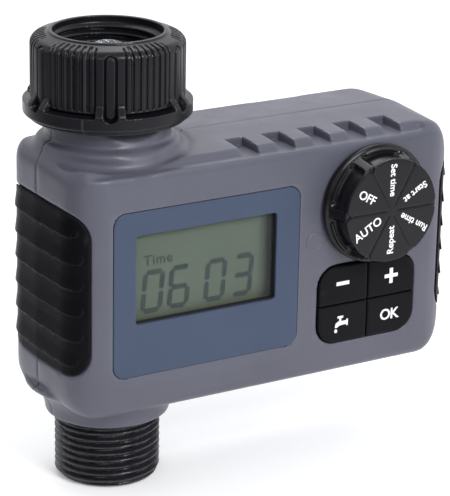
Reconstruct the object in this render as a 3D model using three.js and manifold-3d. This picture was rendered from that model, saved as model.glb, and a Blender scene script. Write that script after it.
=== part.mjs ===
// Electronic drip irrigation timer that hangs from a garden tap.
// Millimetres, +Z up. The origin is the mouth of the inlet nut, on the axis of the water way.
// The front face with the dial and the display looks towards -Y, and the case runs out to +X.
import * as THREE from "three";
import { mergeVertices } from "three/addons/utils/BufferGeometryUtils.js";
import Module from "manifold-3d";

const wasm = await Module();
wasm.setup();

// Case
const CASE = { left: -20.5, right: 90.7, front: -21.3, back: 17.4, top: -27.6, bottom: -91.2 };
const CASE_CORNER = 9.5; // radius of the upright edges, seen from above
const CASE_EDGE = 3.5; // radius along the top and bottom edges
const CASE_FACE_CORNER = 10; // radius of the corners, seen from the front
const CASE_DRAFT = 0.9; // how much lower the top is at the front and back than at the parting line
const WALL = 2.2;
const GAP = 0.3; // play between touching pieces
const NECK = { radius: 15.3, bore: 12.2, top: -21.1, ringRadius: 17.2, ringTop: -26.4 };
const COLLAR = { radius: 15.5, bore: 13.7, bottom: -96.75, rootRadius: 17.6 };
const DECK = { ledgeDepth: 2.6, ledgeDrop: 1.8 };
const SLOT = { count: 5, firstX: 28.75, pitch: 10.43, width: 5, back: -10 };

// Water way
const BSP = { crest: 13.22, root: 12.06, pitch: 1.814, turns: 8 }; // G 3/4 pipe thread
const OUTLET_END = -113.8;
const OUTLET_BORE = 9.2;
const CHAMBER = { radius: 13, bore: 10.4, top: -51, bottom: -72.4 };
const BALL = { z: -62, radius: 9.8, bore: 6.5 };
const SPIGOT = { radius: 10, bore: 8, flangeRadius: 11.7, flangeTop: -13.9 };
const NUT = { body: 18.7, flange: 20.4, mouth: 13.4, minor: 12.1, lip: 10.4, bottom: -20.6 };
const WASHER = { inner: 8.6, outer: 11.7, top: -11.1 };
const DOME_TIP = -2.9;

// Valve drive
const GEAR = { module: 0.75, wheelTeeth: 30, pinionTeeth: 12, x0: 16.3, x1: 19.3, backlash: 0.22 };
const MOTOR = { y: 3.5, radius: 7.8, x0: 20.6, x1: 38.6 };
const PINION_DROP = Math.sqrt(centreDistance() ** 2 - MOTOR.y ** 2);
const MOTOR_Z = BALL.z - PINION_DROP;

// Front panel
const BEZEL = { left: -9.8, right: 42.2, bottom: -81.05, top: -39.3, corner: 3.4, thick: 1.2 };
const WINDOW = { left: -3.7, right: 35.5, bottom: -67.7, top: -45.3, corner: 0.8 };
const DIAL = { x: 63.6, z: -46.6, skirt: 15.2, face: 12.4, height: 8.7, sectors: 6 };
const KEYPAD = { x: 62.8, z: -72.4, width: 28.9, height: 20.4, corner: 5, split: 0.5, proud: 0.9 };
const BUTTON_BACK = -18.6;
const POINTER = { x: 46.7, z: -54.7, radius: 2.35 };
const PCB = { left: -5, right: 80.6, bottom: -87, top: -31.5, front: -15.4, back: -13.8 };

// Grips
const GRIP = { width: 5.8, bottom: -80.8, top: -37.9, corner: 4.6, proud: 0.45, depth: 1 };
const RIDGES = { count: 6, pitch: 6.2, width: 3.1, first: -74.9, proud: 0.9 };

// Battery bay in the back of the case
const BAY = { left: 42, right: 72, bottom: -86.6, top: -31, floor: 0.2, wall: 1.2 };
const CELL = { radius: 7, length: 49.5, nub: 1, pitch: 14.8, y: 8.6, foot: 4.1 };
const CELL_SHIFT = { nubUp: 0.2, nubDown: -2 }; // room for each cell's own spring
const DOOR = { left: 40.6, right: 73.4, bottom: -88.4, top: -28.1, outer: 17.6, inner: 16.4, corner: 2 };
const SCREW = { left: -14.2, right: 84.4, upper: -33.2, lower: -86, head: 2.6, shank: 1.25 };
const POST = { radius: 3.3, front: -16, back: 18, valveRoom: 12.5 };
// A block larger than the whole timer, for cutting it in halves
const ROOM = { x0: -60, x1: 140, y: 60, z0: -140, z1: 20 };

function centreDistance() {
  return (GEAR.module * (GEAR.wheelTeeth + GEAR.pinionTeeth)) / 2;
}

// Colours, roughness and metalness of each kind of piece
const FINISH = {
  casing: { color: 0x6e6f7c, roughness: 0.5, metalness: 0 },
  black_plastic: { color: 0x1b1b1f, roughness: 0.45, metalness: 0 },
  rubber: { color: 0x18181c, roughness: 0.75, metalness: 0 },
  panel: { color: 0x54617a, roughness: 0.5, metalness: 0 },
  lens: { color: 0xdfe6e0, roughness: 0.05, metalness: 0 },
  display: { color: 0x68735f, roughness: 0.4, metalness: 0 },
  board: { color: 0x1d5a35, roughness: 0.5, metalness: 0 },
  silicone: { color: 0x8b8d92, roughness: 0.7, metalness: 0 },
  inner_plastic: { color: 0x2c2d30, roughness: 0.5, metalness: 0 },
  seal: { color: 0x101012, roughness: 0.8, metalness: 0 },
  gear_plastic: { color: 0xe8e6de, roughness: 0.4, metalness: 0 },
  steel: { color: 0xb9bcc0, roughness: 0.3, metalness: 1 },
  brass: { color: 0xc8a862, roughness: 0.3, metalness: 1 },
  cell: { color: 0x2f5f8f, roughness: 0.4, metalness: 0 },
};

// --- solids -------------------------------------------------------------------------------------

function toSolid(geometry) {
  const plain = geometry.index ? geometry.toNonIndexed() : geometry.clone();
  plain.deleteAttribute("normal");
  plain.deleteAttribute("uv");
  const merged = mergeVertices(plain, 1e-4);
  const triVerts = new Uint32Array(merged.index.array);
  const make = () =>
    new wasm.Manifold(
      new wasm.Mesh({ numProp: 3, vertProperties: merged.attributes.position.array, triVerts }),
    );
  const solid = make();
  if (solid.volume() > 0) return solid;
  for (let i = 0; i < triVerts.length; i += 3) {
    [triVerts[i + 1], triVerts[i + 2]] = [triVerts[i + 2], triVerts[i + 1]];
  }
  return make();
}

function toGeometry(solid) {
  const { numProp, numVert, vertProperties, triVerts } = solid.getMesh();
  const position = new Float32Array(numVert * 3);
  for (let i = 0; i < numVert; i++) {
    position.set(vertProperties.subarray(i * numProp, i * numProp + 3), i * 3);
  }
  const geometry = new THREE.BufferGeometry();
  geometry.setAttribute("position", new THREE.BufferAttribute(position, 3));
  geometry.setIndex(new THREE.BufferAttribute(triVerts, 1));
  geometry.computeVertexNormals();
  return geometry;
}

const join = (...solids) => solids.reduce((whole, piece) => whole.add(piece));
const cut = (solid, ...tools) => tools.reduce((rest, tool) => rest.subtract(tool), solid);

function box(x0, x1, y0, y1, z0, z1) {
  const geometry = new THREE.BoxGeometry(x1 - x0, y1 - y0, z1 - z0);
  geometry.translate((x0 + x1) / 2, (y0 + y1) / 2, (z0 + z1) / 2);
  return toSolid(geometry);
}

// A turned piece about the Z axis, from [radius, z] points that close on themselves or on the axis.
function turned(points, segments = 24) {
  const profile = points.map(([r, z]) => new THREE.Vector2(r, z));
  return toSolid(new THREE.LatheGeometry(profile, segments).rotateX(Math.PI / 2));
}

function ring(inner, outer, z0, z1, segments = 24) {
  return turned([[inner, z0], [outer, z0], [outer, z1], [inner, z1], [inner, z0]], segments);
}

function rod(radius, z0, z1, segments = 24) {
  return turned([[0, z0], [radius, z0], [radius, z1], [0, z1]], segments);
}

// Everything in front of the parting plane (side -1) or behind it (side 1), from a gap on.
function halfSpace(side, gap) {
  const y0 = side < 0 ? -ROOM.y : gap;
  const y1 = side < 0 ? -gap : ROOM.y;
  return box(ROOM.x0, ROOM.x1, y0, y1, ROOM.z0, ROOM.z1);
}

// Moves a piece made about +Z so that its axis points out of the front face, towards -Y.
const faceOut = (solid, x, y, z) => solid.rotate([90, 0, 0]).translate([x, y, z]);
// Moves a piece made about +Z so that its axis points towards +X.
const alongX = (solid, x, y, z) => solid.rotate([0, 90, 0]).translate([x, y, z]);

function roundedRect(x0, x1, y0, y1, radius) {
  const shape = new THREE.Shape();
  shape.absarc(x1 - radius, y1 - radius, radius, 0, Math.PI / 2);
  shape.absarc(x0 + radius, y1 - radius, radius, Math.PI / 2, Math.PI);
  shape.absarc(x0 + radius, y0 + radius, radius, Math.PI, 1.5 * Math.PI);
  shape.absarc(x1 - radius, y0 + radius, radius, 1.5 * Math.PI, 2 * Math.PI);
  shape.closePath();
  return shape;
}

function extruded(shape, depth, options = {}) {
  return toSolid(new THREE.ExtrudeGeometry(shape, { depth, bevelEnabled: false, ...options }));
}

// A plate in the XZ plane with rounded corners, between two Y values.
function plate(area, y0, y1, corner, grow = 0, curveSegments = 4) {
  const shape = roundedRect(
    area.left - grow,
    area.right + grow,
    area.bottom - grow,
    area.top + grow,
    Math.max(corner + grow, 0.1),
  );
  return faceOut(extruded(shape, y1 - y0, { curveSegments }), 0, y1, 0);
}

// A round bar along a list of points.
function tube(points, radius, steps, sides) {
  const section = new THREE.Shape();
  section.absarc(0, 0, radius, 0, 2 * Math.PI);
  const path = new THREE.CatmullRomCurve3(points.map((p) => new THREE.Vector3(...p)));
  return toSolid(
    new THREE.ExtrudeGeometry(section, { extrudePath: path, steps, curveSegments: sides / 2 }),
  );
}

// --- case ---------------------------------------------------------------------------------------

// The case's outer form, grown or shrunk by an offset, before it is split.
function caseBlock(offset = 0) {
  const edge = Math.max(CASE_EDGE + offset, 0.5);
  const outline = roundedRect(
    CASE.left - offset,
    CASE.right + offset,
    CASE.front - offset,
    CASE.back + offset,
    CASE_CORNER + offset,
  );
  const height = CASE.top - CASE.bottom + 2 * offset;
  const block = extruded(outline, height - 2 * edge, {
    bevelEnabled: true,
    bevelThickness: edge,
    bevelSize: edge,
    bevelOffset: -edge,
    bevelSegments: 2,
    curveSegments: 4,
  });
  const face = plate(CASE, -ROOM.y, ROOM.y, CASE_FACE_CORNER, offset);
  return block.translate([0, 0, CASE.bottom - offset + edge]).intersect(face);
}

// Half of a block, on one side of the parting plane, lowered towards the front or the back.
function drafted(block, side) {
  const reach = side < 0 ? -CASE.front : CASE.back;
  const slope = CASE_DRAFT / (CASE.top - CASE.bottom) / reach;
  return block.intersect(halfSpace(side, 0)).warp((v) => {
    v[2] = CASE.bottom + (v[2] - CASE.bottom) * (1 - slope * Math.abs(v[1]));
  });
}

function neck() {
  const { radius, top, ringRadius, ringTop } = NECK;
  return turned([
    [0, CASE.top - 2],
    [ringRadius + 0.9, CASE.top - 2],
    [ringRadius + 0.9, CASE.top],
    [ringRadius, ringTop - 0.5],
    [ringRadius - 0.6, ringTop],
    [radius, ringTop + 0.4],
    [radius, top - 0.4],
    [radius - 0.4, top],
    [0, top],
  ]);
}

function collar() {
  const { radius, bottom, rootRadius } = COLLAR;
  return turned([
    [0, bottom],
    [radius, bottom],
    [radius + 0.4, bottom + 1.6],
    [rootRadius - 0.8, CASE.bottom - 1],
    [rootRadius, CASE.bottom + 1.5],
    [0, CASE.bottom + 1.5],
  ]);
}

function gripArea(side, grow) {
  const area =
    side < 0
      ? { left: CASE.left - 20, right: CASE.left + GRIP.width }
      : { left: CASE.right - GRIP.width, right: CASE.right + 20 };
  return plate({ ...area, bottom: GRIP.bottom, top: GRIP.top }, -40, 40, GRIP.corner, grow);
}

// The skin of the case between two offsets, inside one grip's outline.
const gripSkin = (side, outer, inner, grow) =>
  cut(caseBlock(outer), caseBlock(inner)).intersect(gripArea(side, grow));

function grip(side) {
  const band = gripSkin(side, GRIP.proud, -GRIP.depth, 0);
  const ridged = gripSkin(side, RIDGES.proud, -GRIP.depth / 2, -1);
  const bars = Array.from({ length: RIDGES.count }, (_, i) => {
    const z = RIDGES.first + i * RIDGES.pitch;
    const reach = RIDGES.width / 2;
    return box(ROOM.x0, ROOM.x1, -ROOM.y, ROOM.y, z - reach, z + reach);
  });
  return band.add(ridged.intersect(join(...bars)));
}

const screwPlaces = [SCREW.left, SCREW.right].flatMap((x) =>
  [SCREW.upper, SCREW.lower].map((z) => [x, z]),
);

// Four posts for the case screws, hollowed where the water way passes.
function posts(side) {
  const all = screwPlaces.map(([x, z]) =>
    faceOut(rod(POST.radius, POST.front, POST.back, 12), x, 0, z),
  );
  const room = rod(POST.valveRoom, CASE.bottom, CASE.top);
  return cut(join(...all), room).intersect(drafted(caseBlock(-0.5), side));
}

// One half of the case: the drafted skin, half the neck and collar, and the screw posts.
function shellHalf(side) {
  const outer = join(drafted(caseBlock(), side), neck(), collar());
  const hollow = drafted(caseBlock(-WALL), side);
  return cut(
    outer,
    cut(hollow, posts(side)),
    rod(NECK.bore, CASE.top - WALL - 3, 0, 24),
    rod(COLLAR.bore, COLLAR.bottom - 1, CASE.bottom + WALL + 3, 24),
    gripSkin(-1, 3, -GRIP.depth - GAP, GAP),
    gripSkin(1, 3, -GRIP.depth - GAP, GAP),
  ).intersect(halfSpace(side, GAP / 2));
}

function frontShell() {
  const ledgeBack = CASE.front + DECK.ledgeDepth;
  const ledgeTop = CASE.top - DECK.ledgeDrop;
  const ledge = box(NECK.ringRadius + 3, 80, CASE.front - 2, ledgeBack, ledgeTop, -15);
  const slots = Array.from({ length: SLOT.count }, (_, i) => {
    const x = SLOT.firstX + i * SLOT.pitch;
    return box(x - SLOT.width / 2, x + SLOT.width / 2, ledgeBack - 1, SLOT.back, ledgeTop, -15);
  });
  const bezelFloor = CASE.front + BEZEL.thick - 0.1;
  const window = plate(WINDOW, -40, -10, WINDOW.corner, 0.6);
  const keys = plate(keypadArea(), -40, -10, KEYPAD.corner, GAP);
  const pilots = screwPlaces.map(([x, z]) => faceOut(rod(SCREW.shank + GAP, -1, 12, 8), x, 0, z));
  const rim = ring(POINTER.radius - 0.5, POINTER.radius, -0.5, 0.25, 24);
  const pointer = faceOut(rim, POINTER.x, CASE.front, POINTER.z);
  return cut(
    shellHalf(-1).add(pointer),
    ledge,
    ...slots,
    plate(BEZEL, -40, bezelFloor, BEZEL.corner, GAP),
    window,
    keys,
    faceOut(rod(3.2, -20, 20, 24), DIAL.x, CASE.front, DIAL.z),
    ...pilots,
  );
}

function rearShell() {
  const tub = box(
    BAY.left - BAY.wall,
    BAY.right + BAY.wall,
    BAY.floor,
    CASE.back - 0.5,
    BAY.bottom - BAY.wall,
    BAY.top + BAY.wall,
  );
  const bay = box(BAY.left, BAY.right, BAY.floor + BAY.wall, 40, BAY.bottom, BAY.top);
  const doorSeat = plate({ ...DOOR, top: 0 }, DOOR.inner - GAP, 40, 0.5, GAP);
  const holes = screwPlaces.flatMap(([x, z]) => [
    faceOut(rod(SCREW.shank + GAP, -40, 5, 8), x, 0, z),
    faceOut(rod(SCREW.head + GAP, -40, -8.5, 14), x, 0, z),
  ]);
  const scoop = rod(8.5, CASE.top - 1.7, -10, 24).translate([57, 18.5, 0]);
  return cut(join(shellHalf(1), tub), bay, doorSeat, scoop, ...holes);
}

// --- front panel --------------------------------------------------------------------------------

function keypadArea() {
  return {
    left: KEYPAD.x - KEYPAD.width / 2,
    right: KEYPAD.x + KEYPAD.width / 2,
    bottom: KEYPAD.z - KEYPAD.height / 2,
    top: KEYPAD.z + KEYPAD.height / 2,
  };
}

function button(sideX, sideZ) {
  const area = keypadArea();
  const edge = 0.5;
  const front = CASE.front - KEYPAD.proud;
  const block = extruded(
    roundedRect(area.left, area.right, area.bottom, area.top, KEYPAD.corner),
    BUTTON_BACK - front - edge,
    {
      curveSegments: 6,
      bevelEnabled: true,
      bevelThickness: edge,
      bevelSize: edge,
      bevelOffset: -edge,
      bevelSegments: 2,
    },
  );
  const cluster = faceOut(block, 0, BUTTON_BACK, 0);
  const inner = KEYPAD.split / 2;
  const x = [KEYPAD.x + sideX * inner, KEYPAD.x + sideX * KEYPAD.width].sort((a, b) => a - b);
  const z = [KEYPAD.z + sideZ * inner, KEYPAD.z + sideZ * KEYPAD.height].sort((a, b) => a - b);
  return cluster.intersect(box(x[0], x[1], front - 1, BUTTON_BACK, z[0], z[1]));
}

function keypadMat() {
  const area = keypadArea();
  const sheet = plate(area, -17, PCB.front - GAP, KEYPAD.corner, 1.2);
  const domes = [-1, 1].flatMap((sx) =>
    [-1, 1].map((sz) => {
      const x = KEYPAD.x + (sx * KEYPAD.width) / 4;
      const z = KEYPAD.z + (sz * KEYPAD.height) / 4;
      return faceOut(turned([[0, -0.5], [3.4, -0.5], [2.2, 0.5], [0, 0.5]], 12), x, -17, z);
    }),
  );
  return join(sheet, ...domes);
}

function bezel() {
  const front = CASE.front - 0.15;
  const window = plate(WINDOW, -40, -10, WINDOW.corner);
  return cut(plate(BEZEL, front, front + BEZEL.thick - GAP + 0.1, BEZEL.corner), window);
}

const lcdLens = () => plate(WINDOW, -19.9, -18.9, WINDOW.corner, 0.3);
const lcdModule = () => plate(WINDOW, -18.6, PCB.front - GAP, 1, 2.3);

// A piece of a flat ring about Z, between two radii and two angles in degrees.
function arcBar(inner, outer, middle, halfAngle, z0, z1) {
  const [from, to] = [middle - halfAngle, middle + halfAngle].map(THREE.MathUtils.degToRad);
  const shape = new THREE.Shape();
  shape.absarc(0, 0, outer, from, to, false);
  shape.absarc(0, 0, inner, to, from, true);
  shape.closePath();
  return extruded(shape, z1 - z0, { curveSegments: 4 }).translate([0, 0, z0]);
}

// Six sectors: grooves between them on the face, and a pocket with a grip rib in each flank.
function dialKnob() {
  const { skirt, face, height, sectors } = DIAL;
  let knob = turned(
    [
      [0, 0.4],
      [skirt, 0.4],
      [skirt, 1.6],
      [skirt - 0.5, 2.2],
      [face + 0.3, height - 0.4],
      [face, height],
      [0, height],
    ],
    30,
  );
  for (let i = 0; i < sectors; i++) {
    const middle = (i + 0.5) * (360 / sectors);
    knob = cut(knob, arcBar(face - 0.5, skirt + 2, middle, 19, 3, height + 1));
    knob = knob.add(arcBar(face + 0.6, face + 1.2, middle, 16, 2.5, 4.6));
    const groove = box(3, face + 1, -0.2, 0.2, height - 0.35, height + 1);
    const notch = extruded(notchShape(), 2).translate([0, 0, height - 0.7]);
    knob = cut(knob, join(groove, notch).rotate([0, 0, i * (360 / sectors)]));
  }
  const socket = rod(2.9, -1, 4.4, 20);
  return faceOut(cut(knob, socket), DIAL.x, CASE.front, DIAL.z);
}

function notchShape() {
  const shape = new THREE.Shape();
  shape.moveTo(DIAL.face + 1, -1.5);
  shape.lineTo(DIAL.face + 1, 1.5);
  shape.lineTo(DIAL.face - 1.8, 0);
  shape.closePath();
  return shape;
}

const dialSpindle = () => faceOut(rod(2.6, -8.6, 4, 20), DIAL.x, CASE.front, DIAL.z);

function rotarySwitch() {
  const height = PCB.front - GAP - -18.8;
  return faceOut(ring(3, 8.5, 0, height, 24), DIAL.x, PCB.front - GAP, DIAL.z);
}

function mainBoard() {
  const board = plate(PCB, PCB.front, PCB.back, 1.5);
  return cut(board, faceOut(rod(3.2, -5, 5, 20), DIAL.x, PCB.front, DIAL.z));
}

// --- water way ----------------------------------------------------------------------------------

// Thread crests as a stack of rings, from the bottom up.
function threadProfile(z0, root, crest, turns) {
  return Array.from({ length: turns }, (_, i) => {
    const z = z0 + i * BSP.pitch;
    return [[root, z + 0.1], [crest, z + BSP.pitch / 2]];
  }).flat();
}

function valveBody() {
  const chamferTop = OUTLET_END + 1.1;
  const shell = turned([
    [OUTLET_BORE, OUTLET_END],
    [BSP.root, OUTLET_END],
    ...threadProfile(chamferTop - 0.6, BSP.root, BSP.crest, BSP.turns),
    [BSP.root, -98.3],
    [13.3, -98],
    [13.3, -92.5],
    [12.2, -91.5],
    [12.2, -78],
    [CHAMBER.radius, -76],
    [CHAMBER.radius, CHAMBER.top],
    [CHAMBER.bore, CHAMBER.top],
    [CHAMBER.bore, CHAMBER.bottom],
    [7.6, CHAMBER.bottom],
    [7.6, -88],
    [OUTLET_BORE, -91],
    [OUTLET_BORE, OUTLET_END],
  ]);
  const boss = alongX(rod(5.4, 11.5, 15.6, 20), 0, 0, BALL.z);
  const stemHole = alongX(rod(3.6, 8, 20, 24), 0, 0, BALL.z);
  return cut(shell.add(boss), stemHole);
}

function inletSpigot() {
  const { radius, bore, flangeRadius, flangeTop } = SPIGOT;
  return turned([
    [bore, CHAMBER.top + GAP],
    [13.3, CHAMBER.top + GAP],
    [13.3, CHAMBER.top + 4],
    [radius, CHAMBER.top + 5],
    [radius, flangeTop - 3],
    [flangeRadius, flangeTop - 2.7],
    [flangeRadius, flangeTop],
    [bore, flangeTop],
    [bore, CHAMBER.top + GAP],
  ]);
}

function inletNut() {
  const { body, flange, mouth, minor, lip, bottom } = NUT;
  const threadTurns = 4;
  const threads = threadProfile(-9.6, BSP.crest + 0.25, minor, threadTurns).reverse();
  const shell = turned([
    [lip, bottom],
    [body - 0.7, bottom],
    [flange - 0.2, bottom + 1],
    [flange, bottom + 1.8],
    [flange - 0.1, -16.6],
    [body + 0.6, -14.2],
    [body, -3.4],
    [body - 0.6, -1.6],
    [body - 1.8, -0.5],
    [mouth + 1.6, 0],
    [mouth, 0],
    ...threads,
    [BSP.crest + 0.25, bottom + 3.4],
    [lip, bottom + 3.4],
    [lip, bottom],
  ], 30);
  const pill = box(body - 0.5, body + 0.85, -0.7, 0.7, -16.2, -4.2);
  const rib = box(body - 0.5, body + 0.35, -0.45, 0.45, -14.6, -3);
  const ribs = [];
  for (let panel = 0; panel < 6; panel++) {
    const turn = panel * 60 - 120;
    ribs.push(pill.rotate([0, 0, turn]));
    for (let i = -1.5; i <= 1.5; i++) ribs.push(rib.rotate([0, 0, turn + 30 + i * 10]));
  }
  return join(shell, ...ribs);
}

const washer = () => ring(WASHER.inner, WASHER.outer, SPIGOT.flangeTop + GAP, WASHER.top);

// Domed gauze strainer that stands up from the washer's hole into the nut.
function strainer() {
  const rim = 8.2;
  const foot = SPIGOT.flangeTop + GAP;
  const sheet = 0.5;
  const steps = 4;
  const arch = (shrink) =>
    Array.from({ length: steps + 1 }, (_, i) => {
      const t = (i / steps) * (Math.PI / 2);
      const height = DOME_TIP - foot - 1.2 - shrink;
      return [(rim - 0.4 - shrink) * Math.cos(t), foot + 1.2 + height * Math.sin(t)];
    });
  const outside = arch(0);
  const inside = arch(sheet).reverse();
  outside[steps][0] = 0;
  inside[0][0] = 0;
  return turned([...inside, [rim - 1.6, foot], [rim, foot], [rim, foot + 0.8], ...outside], 20);
}

function valveBall() {
  const steps = 10;
  const arc = Array.from({ length: steps + 1 }, (_, i) => {
    const t = (i / steps - 0.5) * Math.PI;
    return [Math.max(BALL.radius * Math.cos(t), 0), BALL.radius * Math.sin(t)];
  });
  arc[0][0] = 0;
  arc[steps][0] = 0;
  const ball = turned(arc, 24);
  const way = faceOut(rod(BALL.bore, -15, 15, 20), 0, 0, 0);
  const slot = box(7.6, 12, -3.2, 3.2, -1.3, 1.3);
  return cut(ball, way, slot).translate([0, 0, BALL.z]);
}

const ballSeat = (z0, z1) => ring(7.1, 10.1, z0, z1);

function valveStem() {
  const shaft = join(
    rod(3.2, 10.2, 12.2, 24),
    rod(2, 12, 14, 24),
    rod(3.2, 13.8, 16, 24),
    box(-2, 2, -2, 2, 15.8, 19.6),
    box(-0.9, 0.9, -2.8, 2.8, 8.2, 10.4),
  );
  return alongX(shaft, 0, 0, BALL.z);
}

const stemSeal = () => alongX(ring(2.3, 3.3, 12.5, 13.5, 24), 0, 0, BALL.z);

// --- valve drive --------------------------------------------------------------------------------

// Outline of a spur gear with involute flanks and a little backlash, tooth 0 on +X.
function gearShape(teeth) {
  const pitch = (GEAR.module * teeth) / 2;
  const base = pitch * Math.cos(THREE.MathUtils.degToRad(20));
  const tip = pitch + 0.75 * GEAR.module;
  const root = pitch - 1.15 * GEAR.module;
  const involute = (r) => {
    const a = Math.acos(Math.min(base / r, 1));
    return Math.tan(a) - a;
  };
  const halfAtPitch = Math.PI / (2 * teeth) - GEAR.backlash / (2 * pitch);
  const half = (r) => halfAtPitch + involute(pitch) - involute(Math.max(r, base));
  const start = Math.max(base, root);
  const radii = [0, 0.6, 1].map((t) => start + (tip - start) * t);
  const shape = new THREE.Shape();
  for (let i = 0; i < teeth; i++) {
    const middle = (i / teeth) * 2 * Math.PI;
    const flank = (r, side) => {
      const angle = middle + side * half(r);
      return [r * Math.cos(angle), r * Math.sin(angle)];
    };
    const outline = [
      flank(root, -1),
      ...radii.map((r) => flank(r, -1)),
      ...radii.toReversed().map((r) => flank(r, 1)),
      flank(root, 1),
    ];
    outline.forEach(([x, y], k) => (i + k ? shape.lineTo(x, y) : shape.moveTo(x, y)));
  }
  shape.closePath();
  return shape;
}

// A gear about the X axis at a place in the YZ plane, turned by an angle in degrees.
function gear(teeth, turn, y, z) {
  const blank = extruded(gearShape(teeth), GEAR.x1 - GEAR.x0).rotate([0, 0, turn]);
  return alongX(blank, GEAR.x0, y, z);
}

// Angle of the pinion's centre seen from the wheel's, in the gears' own plane.
const meshAngle = THREE.MathUtils.radToDeg(Math.atan2(MOTOR.y, PINION_DROP));

function driveWheel() {
  const wheel = gear(GEAR.wheelTeeth, meshAngle, 0, BALL.z);
  const squareHole = box(GEAR.x0 - 1, GEAR.x1 + 1, -2.3, 2.3, BALL.z - 2.3, BALL.z + 2.3);
  return cut(wheel, squareHole);
}

function motorPinion() {
  const halfTooth = 180 / GEAR.pinionTeeth;
  const pinion = gear(GEAR.pinionTeeth, meshAngle + 180 + halfTooth, MOTOR.y, MOTOR_Z);
  return cut(pinion, alongX(rod(1.3, 0, 40, 16), 0, MOTOR.y, MOTOR_Z));
}

const motorShaft = () => alongX(rod(1, GEAR.x0 - 0.3, MOTOR.x0 + 4, 12), 0, MOTOR.y, MOTOR_Z);

function gearMotor() {
  const can = turned([
    [0, MOTOR.x0],
    [3, MOTOR.x0],
    [3, MOTOR.x0 + 0.8],
    [MOTOR.radius, MOTOR.x0 + 0.8],
    [MOTOR.radius, MOTOR.x1 - 1.5],
    [MOTOR.radius - 1, MOTOR.x1 - 0.5],
    [2.5, MOTOR.x1 - 0.5],
    [2.5, MOTOR.x1],
    [0, MOTOR.x1],
  ], 20);
  return alongX(cut(can, rod(1.3, 0, MOTOR.x0 + 4.5, 16)), 0, MOTOR.y, MOTOR_Z);
}

function motorCradle() {
  const seat = box(23, 34, MOTOR.y + 4.5, 14.8, MOTOR_Z - 6, MOTOR_Z + 6);
  return cut(seat, alongX(rod(MOTOR.radius + GAP, 20, 40, 28), 0, MOTOR.y, MOTOR_Z));
}

const motorLead = (offset) =>
  tube(
    [
      [MOTOR.x1 - 0.2 + GAP, MOTOR.y - 4, MOTOR_Z + offset],
      [39.6, MOTOR.y - 5, MOTOR_Z + offset],
      [39.6, -9, MOTOR_Z + offset + 3],
      [39.6, PCB.back + 1.6, MOTOR_Z + offset + 6],
    ],
    0.5,
    12,
    6,
  );

// --- power --------------------------------------------------------------------------------------

const cellX = (side) => (BAY.left + BAY.right) / 2 + (side * CELL.pitch) / 2;

// A round cell with its nub up or down; pole is 1 for nub up.
function cell(side, pole) {
  const half = CELL.length / 2;
  const body = turned([
    [0, -half],
    [4.5, -half],
    [4.5, -half + 0.3],
    [CELL.radius - 0.4, -half + 0.3],
    [CELL.radius, -half + 0.8],
    [CELL.radius, half - 1],
    [CELL.radius - 0.8, half - 0.3],
    [2.7, half - 0.3],
    [2.6, half + CELL.nub],
    [0, half + CELL.nub],
  ], 20);
  const z = BAY.bottom + CELL.foot + half;
  return pole > 0
    ? body.translate([cellX(side), CELL.y, z + CELL_SHIFT.nubUp])
    : body.rotate([180, 0, 0]).translate([cellX(side), CELL.y, z + CELL_SHIFT.nubDown]);
}

// A cone spring of round wire between two heights.
function contactSpring(side, z0, z1) {
  const turns = 3;
  const points = Array.from({ length: turns * 8 + 1 }, (_, i) => {
    const t = i / (turns * 8);
    const angle = 2 * Math.PI * turns * t;
    const radius = 4.4 - 1.6 * t;
    return [
      cellX(side) + radius * Math.cos(angle),
      CELL.y + radius * Math.sin(angle),
      z0 + (z1 - z0) * t,
    ];
  });
  return tube(points, 0.35, 30, 4);
}

const contactPlate = (side, z0, z1) =>
  box(cellX(side) - 5.5, cellX(side) + 5.5, CELL.y - 5, CELL.y + 5, z0, z1);

// One strip under both cells joins them in series.
const linkPlate = () =>
  box(cellX(-1) - 5.5, cellX(1) + 5.5, CELL.y - 5, CELL.y + 5, BAY.bottom + GAP, BAY.bottom + 0.8);

function batteryDoor() {
  const { left, right, bottom, top, outer, inner, corner } = DOOR;
  const panel = plate({ left, right, bottom, top }, inner, outer, corner);
  const lipWidth = 1.2;
  const lip = cut(
    plate(BAY, inner - 0.9, inner + 0.3, 1 + GAP, -GAP),
    plate(BAY, 0, inner, 1 + GAP, -GAP - lipWidth),
  );
  const ribs = Array.from({ length: 4 }, (_, i) => {
    const z = -40 - i * 3;
    return box(50, 64, outer - 0.2, outer + 0.5, z - 0.5, z + 0.5);
  });
  return join(panel, lip, ...ribs);
}

function caseScrew([x, z]) {
  const head = turned([
    [0, -8.9],
    [SCREW.head, -8.9],
    [SCREW.head, -10.2],
    [SCREW.head - 0.9, -11],
    [0, -11],
  ], 12);
  const shank = rod(SCREW.shank, -9.5, 8.5, 8);
  const slot = box(-0.4, 0.4, -2, 2, -12, -10.3);
  return faceOut(cut(head.add(shank), slot), x, 0, z);
}

// --- assembly -----------------------------------------------------------------------------------

const timer = new THREE.Group();

function piece(name, finish, solid) {
  const mesh = new THREE.Mesh(toGeometry(solid), new THREE.MeshStandardMaterial(FINISH[finish]));
  mesh.name = name;
  timer.add(mesh);
}

piece("front_shell", "casing", frontShell());
piece("rear_shell", "casing", rearShell());
piece("left_grip", "rubber", grip(-1));
piece("right_grip", "rubber", grip(1));
screwPlaces.forEach((place, i) => piece(`case_screw_${i + 1}`, "steel", caseScrew(place)));

piece("lcd_bezel", "panel", bezel());
piece("lcd_lens", "lens", lcdLens());
piece("lcd_module", "display", lcdModule());
piece("dial_knob", "black_plastic", dialKnob());
piece("dial_spindle", "inner_plastic", dialSpindle());
piece("rotary_switch", "inner_plastic", rotarySwitch());
piece("button_minus", "black_plastic", button(-1, 1));
piece("button_plus", "black_plastic", button(1, 1));
piece("button_tap", "black_plastic", button(-1, -1));
piece("button_ok", "black_plastic", button(1, -1));
piece("keypad_mat", "silicone", keypadMat());

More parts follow.
